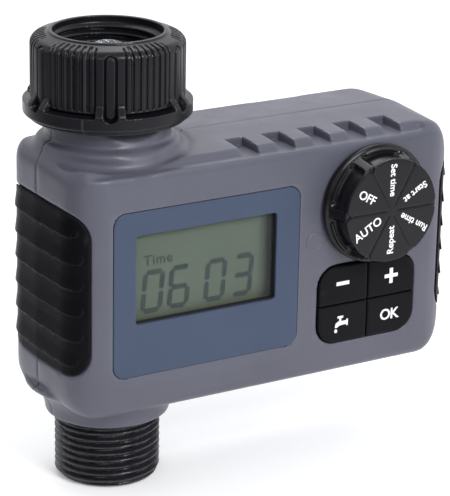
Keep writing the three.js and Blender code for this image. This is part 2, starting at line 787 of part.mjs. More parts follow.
piece("main_board", "board", mainBoard());
piece("controller_chip", "inner_plastic", box(48, 58, PCB.back + GAP, PCB.back + 2, -60, -50));
piece("timing_crystal", "steel", rod(1.5, -66, -58, 16).translate([25, PCB.back + 2, 0]));
piece("reserve_capacitor", "inner_plastic", faceOut(rod(4, -9, -GAP, 24), 32, PCB.back, -42));

piece("inlet_nut", "black_plastic", inletNut());
piece("inlet_washer", "seal", washer());
piece("inlet_strainer", "steel", strainer());
piece("inlet_spigot", "black_plastic", inletSpigot());
piece("neck_seal", "seal", ring(SPIGOT.radius + GAP, NECK.bore - GAP, -27.5, -24.5));
piece("valve_body", "black_plastic", valveBody());
piece("valve_ball", "gear_plastic", valveBall());
piece("upper_ball_seat", "gear_plastic", ballSeat(-54.3, CHAMBER.top - GAP));
piece("lower_ball_seat", "gear_plastic", ballSeat(CHAMBER.bottom + GAP, -69.7));
piece("valve_stem", "steel", valveStem());
piece("stem_seal", "seal", stemSeal());
piece("drive_wheel", "gear_plastic", driveWheel());
piece("motor_pinion", "brass", motorPinion());
piece("motor_shaft", "steel", motorShaft());
piece("gear_motor", "steel", gearMotor());
piece("motor_cradle", "inner_plastic", motorCradle());
piece("motor_lead_1", "cell", motorLead(-1.5));
piece("motor_lead_2", "seal", motorLead(1.5));

piece("battery_1", "cell", cell(-1, 1));
piece("battery_2", "cell", cell(1, -1));
piece("battery_contact_positive", "steel", contactPlate(-1, BAY.top - 0.8, BAY.top - GAP));
piece("battery_contact_negative", "steel", contactPlate(1, BAY.top - 0.8, BAY.top - GAP));
piece("battery_link_plate", "steel", linkPlate());
piece("battery_spring_1", "steel", contactSpring(-1, BAY.bottom + 1.5, BAY.bottom + 3.6));
piece("battery_spring_2", "steel", contactSpring(1, BAY.top - 1.5, BAY.top - 3.4));
piece("battery_door", "casing", batteryDoor());

export default timer;
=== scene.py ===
import math

import bmesh
import bpy
import numpy as np
import openvdb
from mathutils import Matrix, Vector


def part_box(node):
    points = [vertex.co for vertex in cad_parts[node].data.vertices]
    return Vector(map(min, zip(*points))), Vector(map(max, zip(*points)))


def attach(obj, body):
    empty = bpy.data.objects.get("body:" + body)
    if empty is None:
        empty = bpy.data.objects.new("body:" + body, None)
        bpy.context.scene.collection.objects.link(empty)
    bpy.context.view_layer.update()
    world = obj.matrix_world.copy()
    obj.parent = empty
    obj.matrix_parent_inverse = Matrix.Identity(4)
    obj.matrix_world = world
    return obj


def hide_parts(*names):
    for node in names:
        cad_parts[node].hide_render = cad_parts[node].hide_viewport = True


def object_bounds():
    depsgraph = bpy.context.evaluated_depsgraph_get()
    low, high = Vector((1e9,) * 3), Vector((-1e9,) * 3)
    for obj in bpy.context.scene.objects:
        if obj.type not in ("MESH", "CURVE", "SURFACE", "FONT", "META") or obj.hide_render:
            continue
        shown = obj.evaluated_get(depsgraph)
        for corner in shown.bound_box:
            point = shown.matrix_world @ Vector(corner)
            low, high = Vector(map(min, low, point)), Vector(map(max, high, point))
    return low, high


# Electronic drip irrigation timer. Lengths are in millimetres until a mesh is made, then in metres.
# +Z is up, the origin is the mouth of the inlet nut, the front face looks towards -Y.

MM = 0.001
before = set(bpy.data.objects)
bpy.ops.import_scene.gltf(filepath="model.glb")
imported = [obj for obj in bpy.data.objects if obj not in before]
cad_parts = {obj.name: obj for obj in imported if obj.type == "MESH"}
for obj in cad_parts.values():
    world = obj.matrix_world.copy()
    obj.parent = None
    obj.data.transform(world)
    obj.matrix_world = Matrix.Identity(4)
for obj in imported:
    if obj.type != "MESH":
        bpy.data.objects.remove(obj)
cad_low, cad_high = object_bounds()


def box_mm(node):
    low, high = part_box(node)
    return np.array(low) / MM, np.array(high) / MM


# --- measures ------------------------------------------------------------------------------------

REAR_LOW, REAR_HIGH = box_mm("rear_shell")
NUT_LOW, NUT_HIGH = box_mm("inlet_nut")
VALVE_LOW, VALVE_HIGH = box_mm("valve_body")
BEZEL_LOW, BEZEL_HIGH = box_mm("lcd_bezel")
LENS_LOW, LENS_HIGH = box_mm("lcd_lens")
MODULE_LOW, MODULE_HIGH = box_mm("lcd_module")
DOOR_BACK = box_mm("battery_door")[1][1]

# case
LEFT, RIGHT = float(REAR_LOW[0]), float(REAR_HIGH[0])
FRONT, BACK = -21.3, 17.4
TOP, BOTTOM = -27.6, -91.2
CORNER = 9.5  # upright edges
EDGE = 3.3  # top and bottom edges
FACE_CORNERS = [6.6, 10.5, 11.0, 5.0]  # from the front: lower left, lower right, upper right, upper left
WALL, LEAST_WALL, GAP = 2.2, 0.8, 0.3
HOLLOW_TOP = -31.2  # of the front half, under the ledge and the valley round the neck
DRAFT_Z, DRAFT_X = 0.9, 0.7  # how far top and sides fall back from the parting plane to the front
CASE_STEP = 0.4

# neck under the nut, the valley round its ring, and the collar over the outlet
NECK, NECK_TOP, NECK_BORE = 15.3, -21.1, 12.2
RING, RING_TOP = 17.7, -25.9
VALLEY_RADIUS, VALLEY_Z, VALLEY_DEPTH = 19.4, -27.6, 2.5
COLLAR, COLLAR_BOTTOM, COLLAR_BORE = 15.5, -96.75, 13.7
COLLAR_FLARE, COLLAR_CURVE = 0.5, 1.6  # straight and curved part of its growth up to the case

# ledge along the front of the top, and the slots through its riser
LEDGE_Z, LEDGE_BACK, LEDGE_END, LEDGE_SLOPE = -30.4, -19.6, 80.0, math.radians(52)
SLOTS = [28.75 + 10.43 * i for i in range(5)]
SLOT_WIDTH, SLOT_BACK = 5.0, -11.0

# inlet nut and outlet
NUT_BODY, NUT_FLARE, PANEL_HALF, RIB_PITCH, RIB_DEPTH = 18.7, 1.85, 6.3, 1.8, 0.5
NUT_TURN = 3.7  # how far the ribbed pattern is turned from the case's own directions, in degrees
NUT_MOUTH, NUT_SEAT_Z, PASSAGE = 13.35, -17.2, 10.4
PITCH, CREST, ROOT = 1.814, 13.22, 12.06  # G 3/4 pipe thread
STEM_Z = -62

# front panel
WINDOW = (-3.7, 35.5, -67.7, -45.3)
DIAL_X, DIAL_Z = 63.6, -46.6
DIAL_SKIRT, DIAL_FACE, DIAL_HEIGHT = 15.3, 13.1, 8.7
KEYS = (48.35, 77.25, -82.6, -62.2)
KEYS_CORNER, KEY_RISE = 5.2, 0.9
POINTER = (46.7, -54.7)

# grips
GRIP_WIDTH, GRIP_LOW, GRIP_HIGH, GRIP_CORNER, GRIP_DEPTH = 5.3, -81.3, -38.0, 7.6, 1.3
RIDGES = [-75.6 + 6.5 * i for i in range(6)]
RIDGE_HALF, RIDGE_HEIGHT = 1.9, 0.3

# battery bay
BAY = (42.0, 72.0, -86.6, -31.0)
BAY_FLOOR, BAY_WALL = 0.2, 1.2
DOOR = (40.6, 73.4, -88.4, -28.5)
FINGER_X = 57
CELL_RADIUS, CELL_LENGTH, CELL_PITCH, CELL_Y = 7.0, 49.5, 14.8, 8.6
CELL_FOOT = BAY[2] + 4.1

# case screws
SCREWS = [(x, z) for x in (-14.2, 84.4) for z in (-33.2, -86.0)]
POST, SCREW_HOLE, HEAD_HOLE, HEAD_SEAT, PILOT_END = 3.3, 1.55, 2.9, 8.5, -12
VALVE_ROOM = 12.5  # the screw posts are cut away round the water way


# --- solids from distance fields -----------------------------------------------------------------
# A field is negative inside the solid. Each helper joins or cuts fields with rounded edges.


class Grid:
    """Points of a box at a fixed step, as three arrays that broadcast."""

    def __init__(self, low, high, step):
        self.low, self.step = np.array(low, float), step
        counts = np.ceil((np.array(high) - self.low) / step).astype(int) + 1
        x, y, z = (self.low[i] + step * np.arange(counts[i]) for i in range(3))
        self.x = x.astype(np.float32)[:, None, None]
        self.y = y.astype(np.float32)[None, :, None]
        self.z = z.astype(np.float32)[None, None, :]


def both(a, b, r=0.0):
    """What is inside a and b, its outer edge rounded by r."""
    if r == 0:
        return np.maximum(a, b)
    return np.minimum(-r, np.maximum(a, b)) + np.hypot(np.maximum(r + a, 0), np.maximum(r + b, 0))


def join(a, b, r=0.0):
    """What is inside a or b, the corner between them filled by radius r."""
    if r == 0:
        return np.minimum(a, b)
    return -both(-a, -b, r)


def less(a, b, r=0.0):
    """a with b cut away."""
    return both(a, -b, r)


def slab(v, low, high):
    return np.abs(v - (low + high) / 2) - (high - low) / 2


def rect(u, v, area, r):
    """Rounded rectangle u0, u1, v0, v1. r is one radius, or four: low-low, high-low, high-high, low-high."""
    u0, u1, v0, v1 = area
    du, dv = u - (u0 + u1) / 2, v - (v0 + v1) / 2
    if np.ndim(r):
        r = np.where(du > 0, np.where(dv > 0, r[2], r[1]), np.where(dv > 0, r[3], r[0]))
    qu, qv = np.abs(du) - (u1 - u0) / 2 + r, np.abs(dv) - (v1 - v0) / 2 + r
    return np.minimum(np.maximum(qu, qv), 0) + np.hypot(np.maximum(qu, 0), np.maximum(qv, 0)) - r


def ramp(v, width):
    """1 well inside a field, 0 outside it, with a smooth change over the width."""
    t = np.clip(0.5 - v / width, 0, 1)
    return t * t * (3 - 2 * t)


def solid(name, grid, field, material, adaptivity=0.0):
    """The piece bounded by a field's zero surface."""
    band = 3 * grid.step
    shape = np.broadcast_shapes(grid.x.shape, grid.y.shape, grid.z.shape)
    values = np.clip(np.broadcast_to(field, shape), -band, band).astype(np.float32)
    for axis in range(3):
        ends = [slice(None)] * 3
        for end in (0, -1):
            ends[axis] = end
            values[tuple(ends)] = band
    volume = openvdb.FloatGrid(band)
    volume.copyFromArray(values)
    points, triangles, quads = volume.convertToPolygons(isovalue=0.0, adaptivity=adaptivity)
    points = (grid.low + points * grid.step) * MM
    faces = [tuple(f[::-1]) for f in triangles.tolist()] + [tuple(f[::-1]) for f in quads.tolist()]
    mesh = bpy.data.meshes.new(name)
    mesh.from_pydata(points.tolist(), [], faces)
    return finished(name, mesh, material)


def finished(name, mesh, material, sharp=35):
    """A new object for a mesh, facing out, shaded smooth except at sharp edges."""
    work = bmesh.new()
    work.from_mesh(mesh)
    bmesh.ops.remove_doubles(work, verts=work.verts, dist=1e-7)
    if work.calc_volume(signed=True) < 0:
        bmesh.ops.reverse_faces(work, faces=work.faces)
    work.to_mesh(mesh)
    work.free()
    mesh.shade_smooth()
    mesh.set_sharp_from_angle(angle=math.radians(sharp))
    mesh.materials.append(material)
    made = bpy.data.objects.new(name, mesh)
    bpy.context.scene.collection.objects.link(made)
    return made


def place(piece, body, *nodes, slot=None):
    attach(piece, body)
    if nodes:
        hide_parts(*nodes)
    return piece


# --- solids from profiles and paths --------------------------------------------------------------


def turned(name, profile, material, segments=64, place_at=None):
    """A lathe piece about Z from [radius, z] points. It closes on itself or on the axis."""
    mesh = bpy.data.meshes.new(name)
    work = bmesh.new()
    rings = []
    for radius, z in profile:
        if radius < 1e-6:
            rings.append([work.verts.new((0, 0, z * MM))])
            continue
        angles = [2 * math.pi * i / segments for i in range(segments)]
        ring = [(radius * math.cos(a) * MM, radius * math.sin(a) * MM, z * MM) for a in angles]
        rings.append([work.verts.new(p) for p in ring])
    closed = profile[0][0] > 1e-6
    for a, b in zip(rings, rings[1:] + rings[:1] if closed else rings[1:]):
        for i in range(segments):
            j = (i + 1) % segments
            corners = [a[i % len(a)], a[j % len(a)], b[j % len(b)], b[i % len(b)]]
            unique = list(dict.fromkeys(corners))
            if len(unique) > 2:
                work.faces.new(unique)
    if place_at is not None:
        work.transform(place_at)
    work.to_mesh(mesh)
    work.free()
    return finished(name, mesh, material)


def tube_mesh(work, points, radius, sides):
    """Adds a round bar along points to a bmesh, its ends closed."""
    path = [Vector(p) for p in points]
    side = Vector((0, 0, 1))
    rings = []
    for i, p in enumerate(path):
        along = (path[min(i + 1, len(path) - 1)] - path[max(i - 1, 0)]).normalized()
        if abs(along.dot(side)) > 0.95:
            side = Vector((1, 0, 0))
        u = along.cross(side).normalized()
        v = along.cross(u)
        side = v.cross(along).normalized() if i else side
        turns = [2 * math.pi * k / sides for k in range(sides)]
        rings.append([work.verts.new((p + radius * (math.cos(t) * u + math.sin(t) * v)) * MM) for t in turns])
    for a, b in zip(rings, rings[1:]):
        for k in range(sides):
            work.faces.new([a[k], a[(k + 1) % sides], b[(k + 1) % sides], b[k]])
    work.faces.new(rings[0][::-1])
    work.faces.new(rings[-1])


def tubes(name, paths, radius, material, sides=8):
    mesh = bpy.data.meshes.new(name)
    work = bmesh.new()
    for points in paths:
        tube_mesh(work, points, radius, sides)
    work.to_mesh(mesh)
    work.free()
    return finished(name, mesh, material, sharp=60)


def print_on(name, outlines, y, depth, material):
    """Flat marks on a plane that looks to -Y, from outlines of x, z points."""
    mesh = bpy.data.meshes.new(name)
    work = bmesh.new()
    for outline in outlines:
        front = [work.verts.new((x * MM, (y - depth) * MM, z * MM)) for x, z in outline]
        back = [work.verts.new((x * MM, y * MM, z * MM)) for x, z in outline]
        work.faces.new(front)
        work.faces.new(back[::-1])
        for i in range(len(outline)):
            j = (i + 1) % len(outline)
            work.faces.new([front[i], back[i], back[j], front[j]])
    bmesh.ops.recalc_face_normals(work, faces=work.faces)
    work.to_mesh(mesh)
    work.free()
    return finished(name, mesh, material)


def lettering(name, text, size, x, z, y, turn, material, depth=0.12, spread=1.0, bold=0.0):
    """Raised letters centred on a place of a plane that looks to -Y."""
    curve = bpy.data.curves.new(name, "FONT")
    curve.body = text
    curve.size = size * MM
    curve.extrude = depth / 2 * MM
    curve.offset = bold * MM
    curve.space_character = spread
    curve.align_x, curve.align_y = "CENTER", "CENTER"
    curve.resolution_u = 4
    holder = bpy.data.objects.new(name + "_curve", curve)
    bpy.context.scene.collection.objects.link(holder)
    bpy.context.view_layer.update()
    mesh = bpy.data.meshes.new_from_object(holder.evaluated_get(bpy.context.evaluated_depsgraph_get()))
    bpy.data.objects.remove(holder)
    upright = Matrix.Rotation(math.radians(90), 4, "X")
    mesh.transform(upright @ Matrix.Rotation(math.radians(turn), 4, "Z"))
    mesh.transform(Matrix.Translation(Vector((x, y - depth / 2, z)) * MM))
    mesh.materials.clear()
    return finished(name, mesh, material)


# --- materials -----------------------------------------------------------------------------------


def linear(rgb):
    return tuple((c / 255 / 12.92 if c <= 10 else ((c / 255 + 0.055) / 1.055) ** 2.4) for c in rgb) + (1.0,)


class Finish:
    """A node material on a Principled shader, with helpers for patterns in the object's own space."""

    def __init__(self, name):
        self.material = bpy.data.materials.new(name)
        self.material.use_nodes = True
        self.tree = self.material.node_tree
        self.shader = self.tree.nodes["Principled BSDF"]
        self.space = self.tree.nodes.new("ShaderNodeTexCoord").outputs["Object"]

    def set(self, **values):
        for key, value in values.items():
            self.shader.inputs[key.replace("_", " ")].default_value = value
        return self

    def node(self, kind, **inputs):
        made = self.tree.nodes.new("ShaderNode" + kind)
        for key, value in inputs.items():
            socket = made.inputs[key.replace("_", " ")]
            if hasattr(value, "is_output"):
                self.tree.links.new(value, socket)
            else:
                socket.default_value = value
        return made

    def noise(self, scale, detail=2.0, roughness=0.5):
        made = self.node("TexNoise", Vector=self.space, Scale=scale, Detail=detail, Roughness=roughness)
        return made.outputs[0]

    def spread(self, value, low, high, start=0.3, end=0.7):
        made = self.node("MapRange", Value=value, From_Min=start, From_Max=end, To_Min=low, To_Max=high)
        return made.outputs[0]

    def blend(self, factor, a, b):
        made = self.node("Mix")
        made.data_type = "RGBA"
        self.tree.links.new(factor, made.inputs[0])
        for socket, value in ((made.inputs[6], a), (made.inputs[7], b)):
            if hasattr(value, "is_output"):
                self.tree.links.new(value, socket)
            else:
                socket.default_value = value
        return made.outputs[2]

    def drive(self, socket, value):
        self.tree.links.new(value, self.shader.inputs[socket])
        return self

    def bump(self, height, strength, distance):
        made = self.node("Bump", Strength=strength, Distance=distance, Height=height)
        self.drive("Normal", made.outputs[0])
        return self


def moulded(name, rgb, rough=0.45, grain=0.25, grain_scale=2600, level=0.5, drift=0.06, edge_highlight=0.0):
    """Moulded plastic or rubber: fine spark-eroded grain, slow drift of tone, convex edges lightened by a
    painted highlight.
    """
    finish = Finish(name)
    base = linear(rgb)
    light = tuple(min(c * (1 + drift) + 0.002, 1) for c in base[:3]) + (1.0,)
    dark = tuple(c * (1 - drift) for c in base[:3]) + (1.0,)
    colour = finish.blend(finish.spread(finish.noise(45, 3), 0, 1), dark, light)
    # painted highlight: convex edges, found by Pointiness, are blended towards a paler copy of the colour
    if edge_highlight:
        edges = finish.node("NewGeometry").outputs["Pointiness"]
        edge_highlight_mask = finish.spread(edges, 0, edge_highlight, 0.51, 0.56)
        highlight_colour = tuple(min(c * 1.8 + 0.03, 1) for c in base[:3]) + (1.0,)
        colour = finish.blend(edge_highlight_mask, colour, highlight_colour)
    finish.drive("Base Color", colour)
    smear = finish.noise(130, 4, 0.6)
    finish.drive("Roughness", finish.spread(smear, rough - 0.05, rough + 0.06))
    finish.bump(finish.noise(grain_scale, 2, 0.6), grain, 0.00004)
    return finish.set(Specular_IOR_Level=level).material


def metal(name, rgb, rough, brushed=900):
    finish = Finish(name)
    base = linear(rgb)
    dull = tuple(c * 0.82 for c in base[:3]) + (1.0,)
    finish.drive("Base Color", finish.blend(finish.spread(finish.noise(260, 4), 0, 1), dull, base))
    finish.drive("Roughness", finish.spread(finish.noise(brushed, 5, 0.7), rough - 0.06, rough + 0.12))
    finish.bump(finish.noise(brushed * 2, 2), 0.12, 0.00002)
    return finish.set(Metallic=1.0).material


CASING = moulded("casing_grey", (82, 83, 95), rough=0.37, grain=0.3, level=0.4, edge_highlight=0.2)
BLACK = moulded("black_gloss", (15, 15, 19), rough=0.24, grain=0.15, level=0.26, drift=0.12, edge_highlight=0.3)
OUTLET_BLACK = moulded("outlet_black", (24, 24, 29), rough=0.26, grain=0.2, drift=0.12, edge_highlight=0.5)
NUT_BLACK = moulded("nut_black", (17, 17, 22), rough=0.3, grain=0.3, level=0.26, drift=0.15, edge_highlight=0.6)
RUBBER = moulded("grip_rubber", (15, 15, 19), 0.28, 0.25, 1800, level=0.02, drift=0.12, edge_highlight=0.25)
KEY_BLACK = moulded("key_rubber", (14, 14, 18), rough=0.5, grain=0.3, level=0.08, drift=0.08, edge_highlight=0.2)
PANEL = moulded("panel_blue", (62, 73, 94), rough=0.4, grain=0.12, level=0.2, drift=0.03)
INNER = moulded("inner_black", (20, 21, 23), rough=0.45, level=0.25)
SEAL = moulded("seal_rubber", (14, 14, 15), rough=0.65, grain=0.4, level=0.3, drift=0.1)
SILICONE = moulded("silicone_mat", (150, 152, 156), rough=0.55, level=0.4)
ACETAL = moulded("gear_acetal", (232, 229, 218), rough=0.32, grain=0.1, level=0.5, drift=0.03)
PRINT = moulded("white_print", (235, 236, 238), rough=0.5, grain=0.2, level=0.3, drift=0.02)
LEAD_RED = moulded("lead_red", (165, 28, 24), rough=0.4, grain=0.1)
LEAD_BLACK = moulded("lead_black", (22, 22, 24), rough=0.4, grain=0.1)
SEGMENT = moulded("display_segment", (40, 54, 56), rough=0.3, grain=0.05, level=0.15, drift=0.1)
STEEL = metal("steel", (196, 198, 202), 0.24)
MESH_STEEL = metal("mesh_steel", (150, 151, 156), 0.38)
SPRING_STEEL = metal("spring_steel", (206, 207, 208), 0.2, 1500)
NICKEL = metal("nickel", (200, 196, 186), 0.22)
BRASS = metal("brass", (206, 172, 98), 0.26)


def display_glass():
    """Reflective display: grey green with a faint grid, with painted shadow along its right border and a
    brownish painted shadow and reflection along its lower border.
    """
    finish = Finish("display_glass")
    weave = finish.node("TexBrick", Vector=finish.space, Scale=900.0)
    weave.inputs["Color1"].default_value = linear((93, 106, 93))
    weave.inputs["Color2"].default_value = linear((90, 103, 90))
    weave.inputs["Mortar"].default_value = linear((88, 100, 88))
    split = finish.node("SeparateXYZ", Vector=finish.space)
    right, low = WINDOW[1] * MM, WINDOW[2] * MM
    # painted shadow and reflection: a brownish band along the window's lower border
    lower_shadow = finish.spread(split.outputs[2], 0.75, 0, low - 0.0005, low + 0.0032)
    shade = finish.blend(lower_shadow, weave.outputs[0], linear((80, 84, 62)))
    # painted shadow: the display goes nearly black towards the window's right border
    dark = finish.spread(split.outputs[0], 0, 0.97, right - 0.0038, right - 0.0008)
    finish.drive("Base Color", finish.blend(dark, shade, linear((16, 17, 18))))
    finish.drive("Roughness", finish.spread(finish.noise(200, 3), 0.34, 0.46))
    return finish.set(Specular_IOR_Level=0.2).material


def clear_window():
    """Clear acrylic: nearly invisible, with a soft gloss and a few fine scratches."""
    finish = Finish("clear_window")
    scratches = finish.node("TexVoronoi", Vector=finish.space, Scale=260.0)
    scratches.feature = "DISTANCE_TO_EDGE"
    haze = finish.spread(finish.noise(60), 0, 1)
    finish.drive("Base Color", finish.blend(haze, linear((90, 98, 92)), linear((98, 104, 98))))
    finish.drive("Roughness", finish.spread(scratches.outputs[0], 0.16, 0.07, 0.0, 0.04))
    finish.material.surface_render_method = "BLENDED"
    return finish.set(Alpha=0.12, Specular_IOR_Level=0.5).material


def board_green():
    """Solder mask with copper tracks under it."""
    finish = Finish("board_green")
    tracks = finish.node("TexBrick", Vector=finish.space, Scale=260.0)
    tracks.inputs["Color1"].default_value = linear((22, 84, 50))
    tracks.inputs["Color2"].default_value = linear((24, 92, 54))
    tracks.inputs["Mortar"].default_value = linear((48, 122, 74))
    finish.drive("Base Color", tracks.outputs[0])
    finish.drive("Roughness", finish.spread(finish.noise(400), 0.3, 0.42))
    finish.bump(tracks.outputs["Fac"], 0.3, 0.00005)
    return finish.material


def cell_wrap():
    """Plastic sleeve of a dry cell: a dark body with a bright band near its upper end."""
    finish = Finish("cell_wrap")
    split = finish.node("SeparateXYZ", Vector=finish.space)
    low, high = (CELL_FOOT + 36) * MM, (CELL_FOOT + 44) * MM
    over = finish.spread(split.outputs[2], 0, 1, low - 0.0001, low + 0.0001)
    under = finish.spread(split.outputs[2], 1, 0, high - 0.0001, high + 0.0001)
    band = finish.node("Math", Value=over)
    band.operation = "MULTIPLY"
    finish.tree.links.new(under, band.inputs[1])
    finish.drive("Base Color", finish.blend(band.outputs[0], linear((26, 30, 36)), linear((186, 128, 60))))
    finish.drive("Roughness", finish.spread(finish.noise(300, 3), 0.2, 0.32))
    return finish.set(Coat_Weight=0.3, Coat_Roughness=0.12).material


DISPLAY, CLEAR, BOARD, WRAP = display_glass(), clear_window(), board_green(), cell_wrap()


# --- case ----------------------------------------------------------------------------------------


def case_field(g, inset=0.0):
    """The case without neck and collar. Its top and sides fall back a little from the parting plane."""
    fall = np.abs(g.y) / -FRONT
    mid_x = (LEFT + RIGHT) / 2
    x = mid_x + (g.x - mid_x) / (1 - DRAFT_X / ((RIGHT - LEFT) / 2) * fall)
    z = BOTTOM + (g.z - BOTTOM) / (1 - DRAFT_Z / (TOP - BOTTOM) * fall)
    plan = rect(x, g.y, (LEFT + inset, RIGHT - inset, FRONT + inset, BACK - inset), CORNER - inset)
    corners = [r - inset for r in FACE_CORNERS]
    face = rect(x, z, (LEFT + inset, RIGHT - inset, BOTTOM + inset, TOP - inset), corners)
    return both(plan, face, max(EDGE - inset * 0.5, 0.5))


def grip_area(g, side, grow=0.0):
    u0, u1 = (LEFT - 20, LEFT + GRIP_WIDTH) if side < 0 else (RIGHT - GRIP_WIDTH, RIGHT + 20)
    return rect(g.x, g.z, (u0 - grow, u1 + grow, GRIP_LOW - grow, GRIP_HIGH + grow), GRIP_CORNER + grow)


def neck_field(g):
    r = np.hypot(g.x, g.y)
    foot = -33 - g.z
    tube = both(both(r - NECK, g.z - NECK_TOP, 0.4), foot)
    ring = both(both(r - RING, g.z - RING_TOP, 1.6), foot)
    return join(tube, ring, 1.2)


def collar_field(g):
    r = np.hypot(g.x, g.y)
    height = np.clip((g.z - COLLAR_BOTTOM) / (BOTTOM - COLLAR_BOTTOM), 0, 1.4)
    cone = (r - COLLAR - COLLAR_FLARE * height - COLLAR_CURVE * height**3) * 0.9
    return both(both(cone, COLLAR_BOTTOM - g.z, 0.35), g.z + 88)


def shell_field(g, side):
    """One half of the case before its own openings."""
    body = case_field(g)
    r = np.hypot(g.x, g.y)
    # the valley fades out towards the back and the right
    depth = VALLEY_DEPTH * ramp(g.y + 10, 12) * ramp(g.x - 6, 16)
    body = less(body, np.hypot(r - VALLEY_RADIUS, g.z - VALLEY_Z) - depth, 2.0)
    body = join(body, neck_field(g), 1.4)
    body = join(body, collar_field(g), 0.9)
    if side < 0:
        body = front_outside(g, body)
    hollow = case_field(g, WALL)
    for x, z in SCREWS:
        post = less(np.hypot(g.x - x, g.z - z) - POST, r - VALVE_ROOM)
        hollow = less(hollow, post)
    hollow = both(hollow, case_field(g, LEAST_WALL))
    if side < 0:
        hollow = both(hollow, g.z - HOLLOW_TOP)
    body = less(body, hollow)
    body = less(body, both(r - NECK_BORE, -32 - g.z))
    body = less(body, both(r - COLLAR_BORE, g.z + 86))
    skin = -(case_field(g) + GRIP_DEPTH)
    for hand in (-1, 1):
        body = less(body, both(grip_area(g, hand, GAP), skin), 0.2)
    return both(body, -side * g.y + 0.03, 0.08)


def front_outside(g, body):
    """The lower ledge along the front of the top, its sloped riser, and five slots through the riser."""
    lean = math.sin(LEDGE_SLOPE) * (g.y - LEDGE_BACK) - math.cos(LEDGE_SLOPE) * (g.z - LEDGE_Z)
    over = both(lean, LEDGE_Z - g.z, 0.5)
    over = both(over, g.x - LEDGE_END, 2.5)
    body = less(body, over, 0.6)
    slots = None
    for x in SLOTS:
        wide = slab(g.x, x - SLOT_WIDTH / 2, x + SLOT_WIDTH / 2)
        slot = both(wide, slab(g.y, FRONT - 4.7, SLOT_BACK), 0.3)
        slot = both(slot, LEDGE_Z + 0.05 - g.z, 0.2)
        slots = slot if slots is None else join(slots, slot)
    return less(body, slots, 0.25)


def grown(area, by):
    """An area u0, u1, v0, v1 made larger by the same amount on every side."""
    u0, u1, v0, v1 = area
    return u0 - by, u1 + by, v0 - by, v1 + by


def front_shell():
    margin = 1.5
    low = (LEFT - margin, FRONT - margin, COLLAR_BOTTOM - margin)
    g = Grid(low, (RIGHT + margin, margin, NECK_TOP + margin), CASE_STEP)
    body = shell_field(g, -1)
    plate = (BEZEL_LOW[0], BEZEL_HIGH[0], BEZEL_LOW[2], BEZEL_HIGH[2])
    pocket = both(rect(g.x, g.z, grown(plate, 0.08), 3.45), g.y - (FRONT + 1.05))
    body = less(body, pocket, 0.12)
    through = g.y + 10
    body = less(body, both(rect(g.x, g.z, grown(WINDOW, 0.6), 1.4), through))
    body = less(body, both(rect(g.x, g.z, grown(KEYS, GAP), KEYS_CORNER + GAP), through), 0.35)
    hole = np.hypot(g.x - DIAL_X, g.z - DIAL_Z) - 3.2
    body = less(body, both(hole, through), 0.3)
    for x, z in SCREWS:
        pilot = both(np.hypot(g.x - x, g.z - z) - SCREW_HOLE, PILOT_END - g.y)
        body = less(body, pilot)
    place(solid("case_front", g, body, CASING, 0.01), "case", "front_shell", slot="casing")


def rear_shell():
    margin = 1.5
    low = (LEFT - margin, -margin, COLLAR_BOTTOM - margin)
    g = Grid(low, (RIGHT + margin, BACK + margin, NECK_TOP + margin), CASE_STEP)
    body = shell_field(g, 1)
    tub = both(rect(g.x, g.z, grown(BAY, BAY_WALL), 1.2), slab(g.y, BAY_FLOOR, BACK - 0.5))
    body = join(body, tub)
    body = less(body, both(rect(g.x, g.z, BAY, 0.8), BAY_FLOOR + BAY_WALL - g.y), 0.2)
    u0, u1, v0, v1 = DOOR
    seat = rect(g.x, g.z, (u0 - GAP, u1 + GAP, v0 - GAP, v1 + 30), 2.2)
    body = less(body, both(seat, 16.3 - g.y), 0.15)
    scoop = np.hypot((g.x - FINGER_X) * 0.55, g.y - 20.2) - 6.5
    body = less(body, both(scoop, TOP - 0.75 - g.z), 0.5)
    for x, z in SCREWS:
        ray = np.hypot(g.x - x, g.z - z)
        body = less(body, both(ray - HEAD_HOLE, HEAD_SEAT - g.y), 0.3)
        body = less(body, ray - SCREW_HOLE)
    place(solid("case_rear", g, body, CASING, 0.01), "case", "rear_shell", slot="casing")


def grip(side, name, node):
    """Rubber pad round the side, with ridges that rise slowly from above and drop sharply below."""
    x0, x1 = (LEFT - 2, LEFT + 7.5) if side < 0 else (RIGHT - 7.5, RIGHT + 2)
    g = Grid((x0, FRONT - 1, GRIP_LOW - 1.5), (x1, BACK + 1, GRIP_HIGH + 1.5), 0.2)
    skin = case_field(g)
    area = grip_area(g, side)
    inward = (g.x - LEFT) if side < 0 else (RIGHT - g.x)
    swell = 0.1
    for i, z in enumerate(RIDGES):
        end = GRIP_WIDTH - (2.3 if i in (0, len(RIDGES) - 1) else 1.5)
        pill = np.hypot(np.maximum(inward - end + RIDGE_HALF, 0), g.z - z) - RIDGE_HALF
        rise = RIDGE_HEIGHT + RIDGE_HEIGHT * np.clip((z - g.z) / RIDGE_HALF, -1, 1)
        swell = swell + rise * ramp(pill, 0.25)
    band = both(skin - swell, -(skin + 0.95), 0.15)
    piece = solid(name, g, both(band, area, 0.35), RUBBER, 0.004)
    place(piece, "case", node, slot="grip_rubber")


def pointer_mark():
    """Small round boss beside the dial, with a raised rim."""
    upright = Matrix.Rotation(math.radians(90), 4, "X")
    face = Matrix.Translation(Vector((POINTER[0], FRONT, POINTER[1])) * MM) @ upright
    rim = [(2.35, -0.6), (2.35, 0.1), (2.2, 0.22), (1.95, 0.22), (1.8, 0.08)]
    profile = [(0, -0.6), *rim, (0.6, 0.05), (0, 0.12)]
    place(turned("pointer_mark", profile, CASING, 40, face), "case", slot="casing")


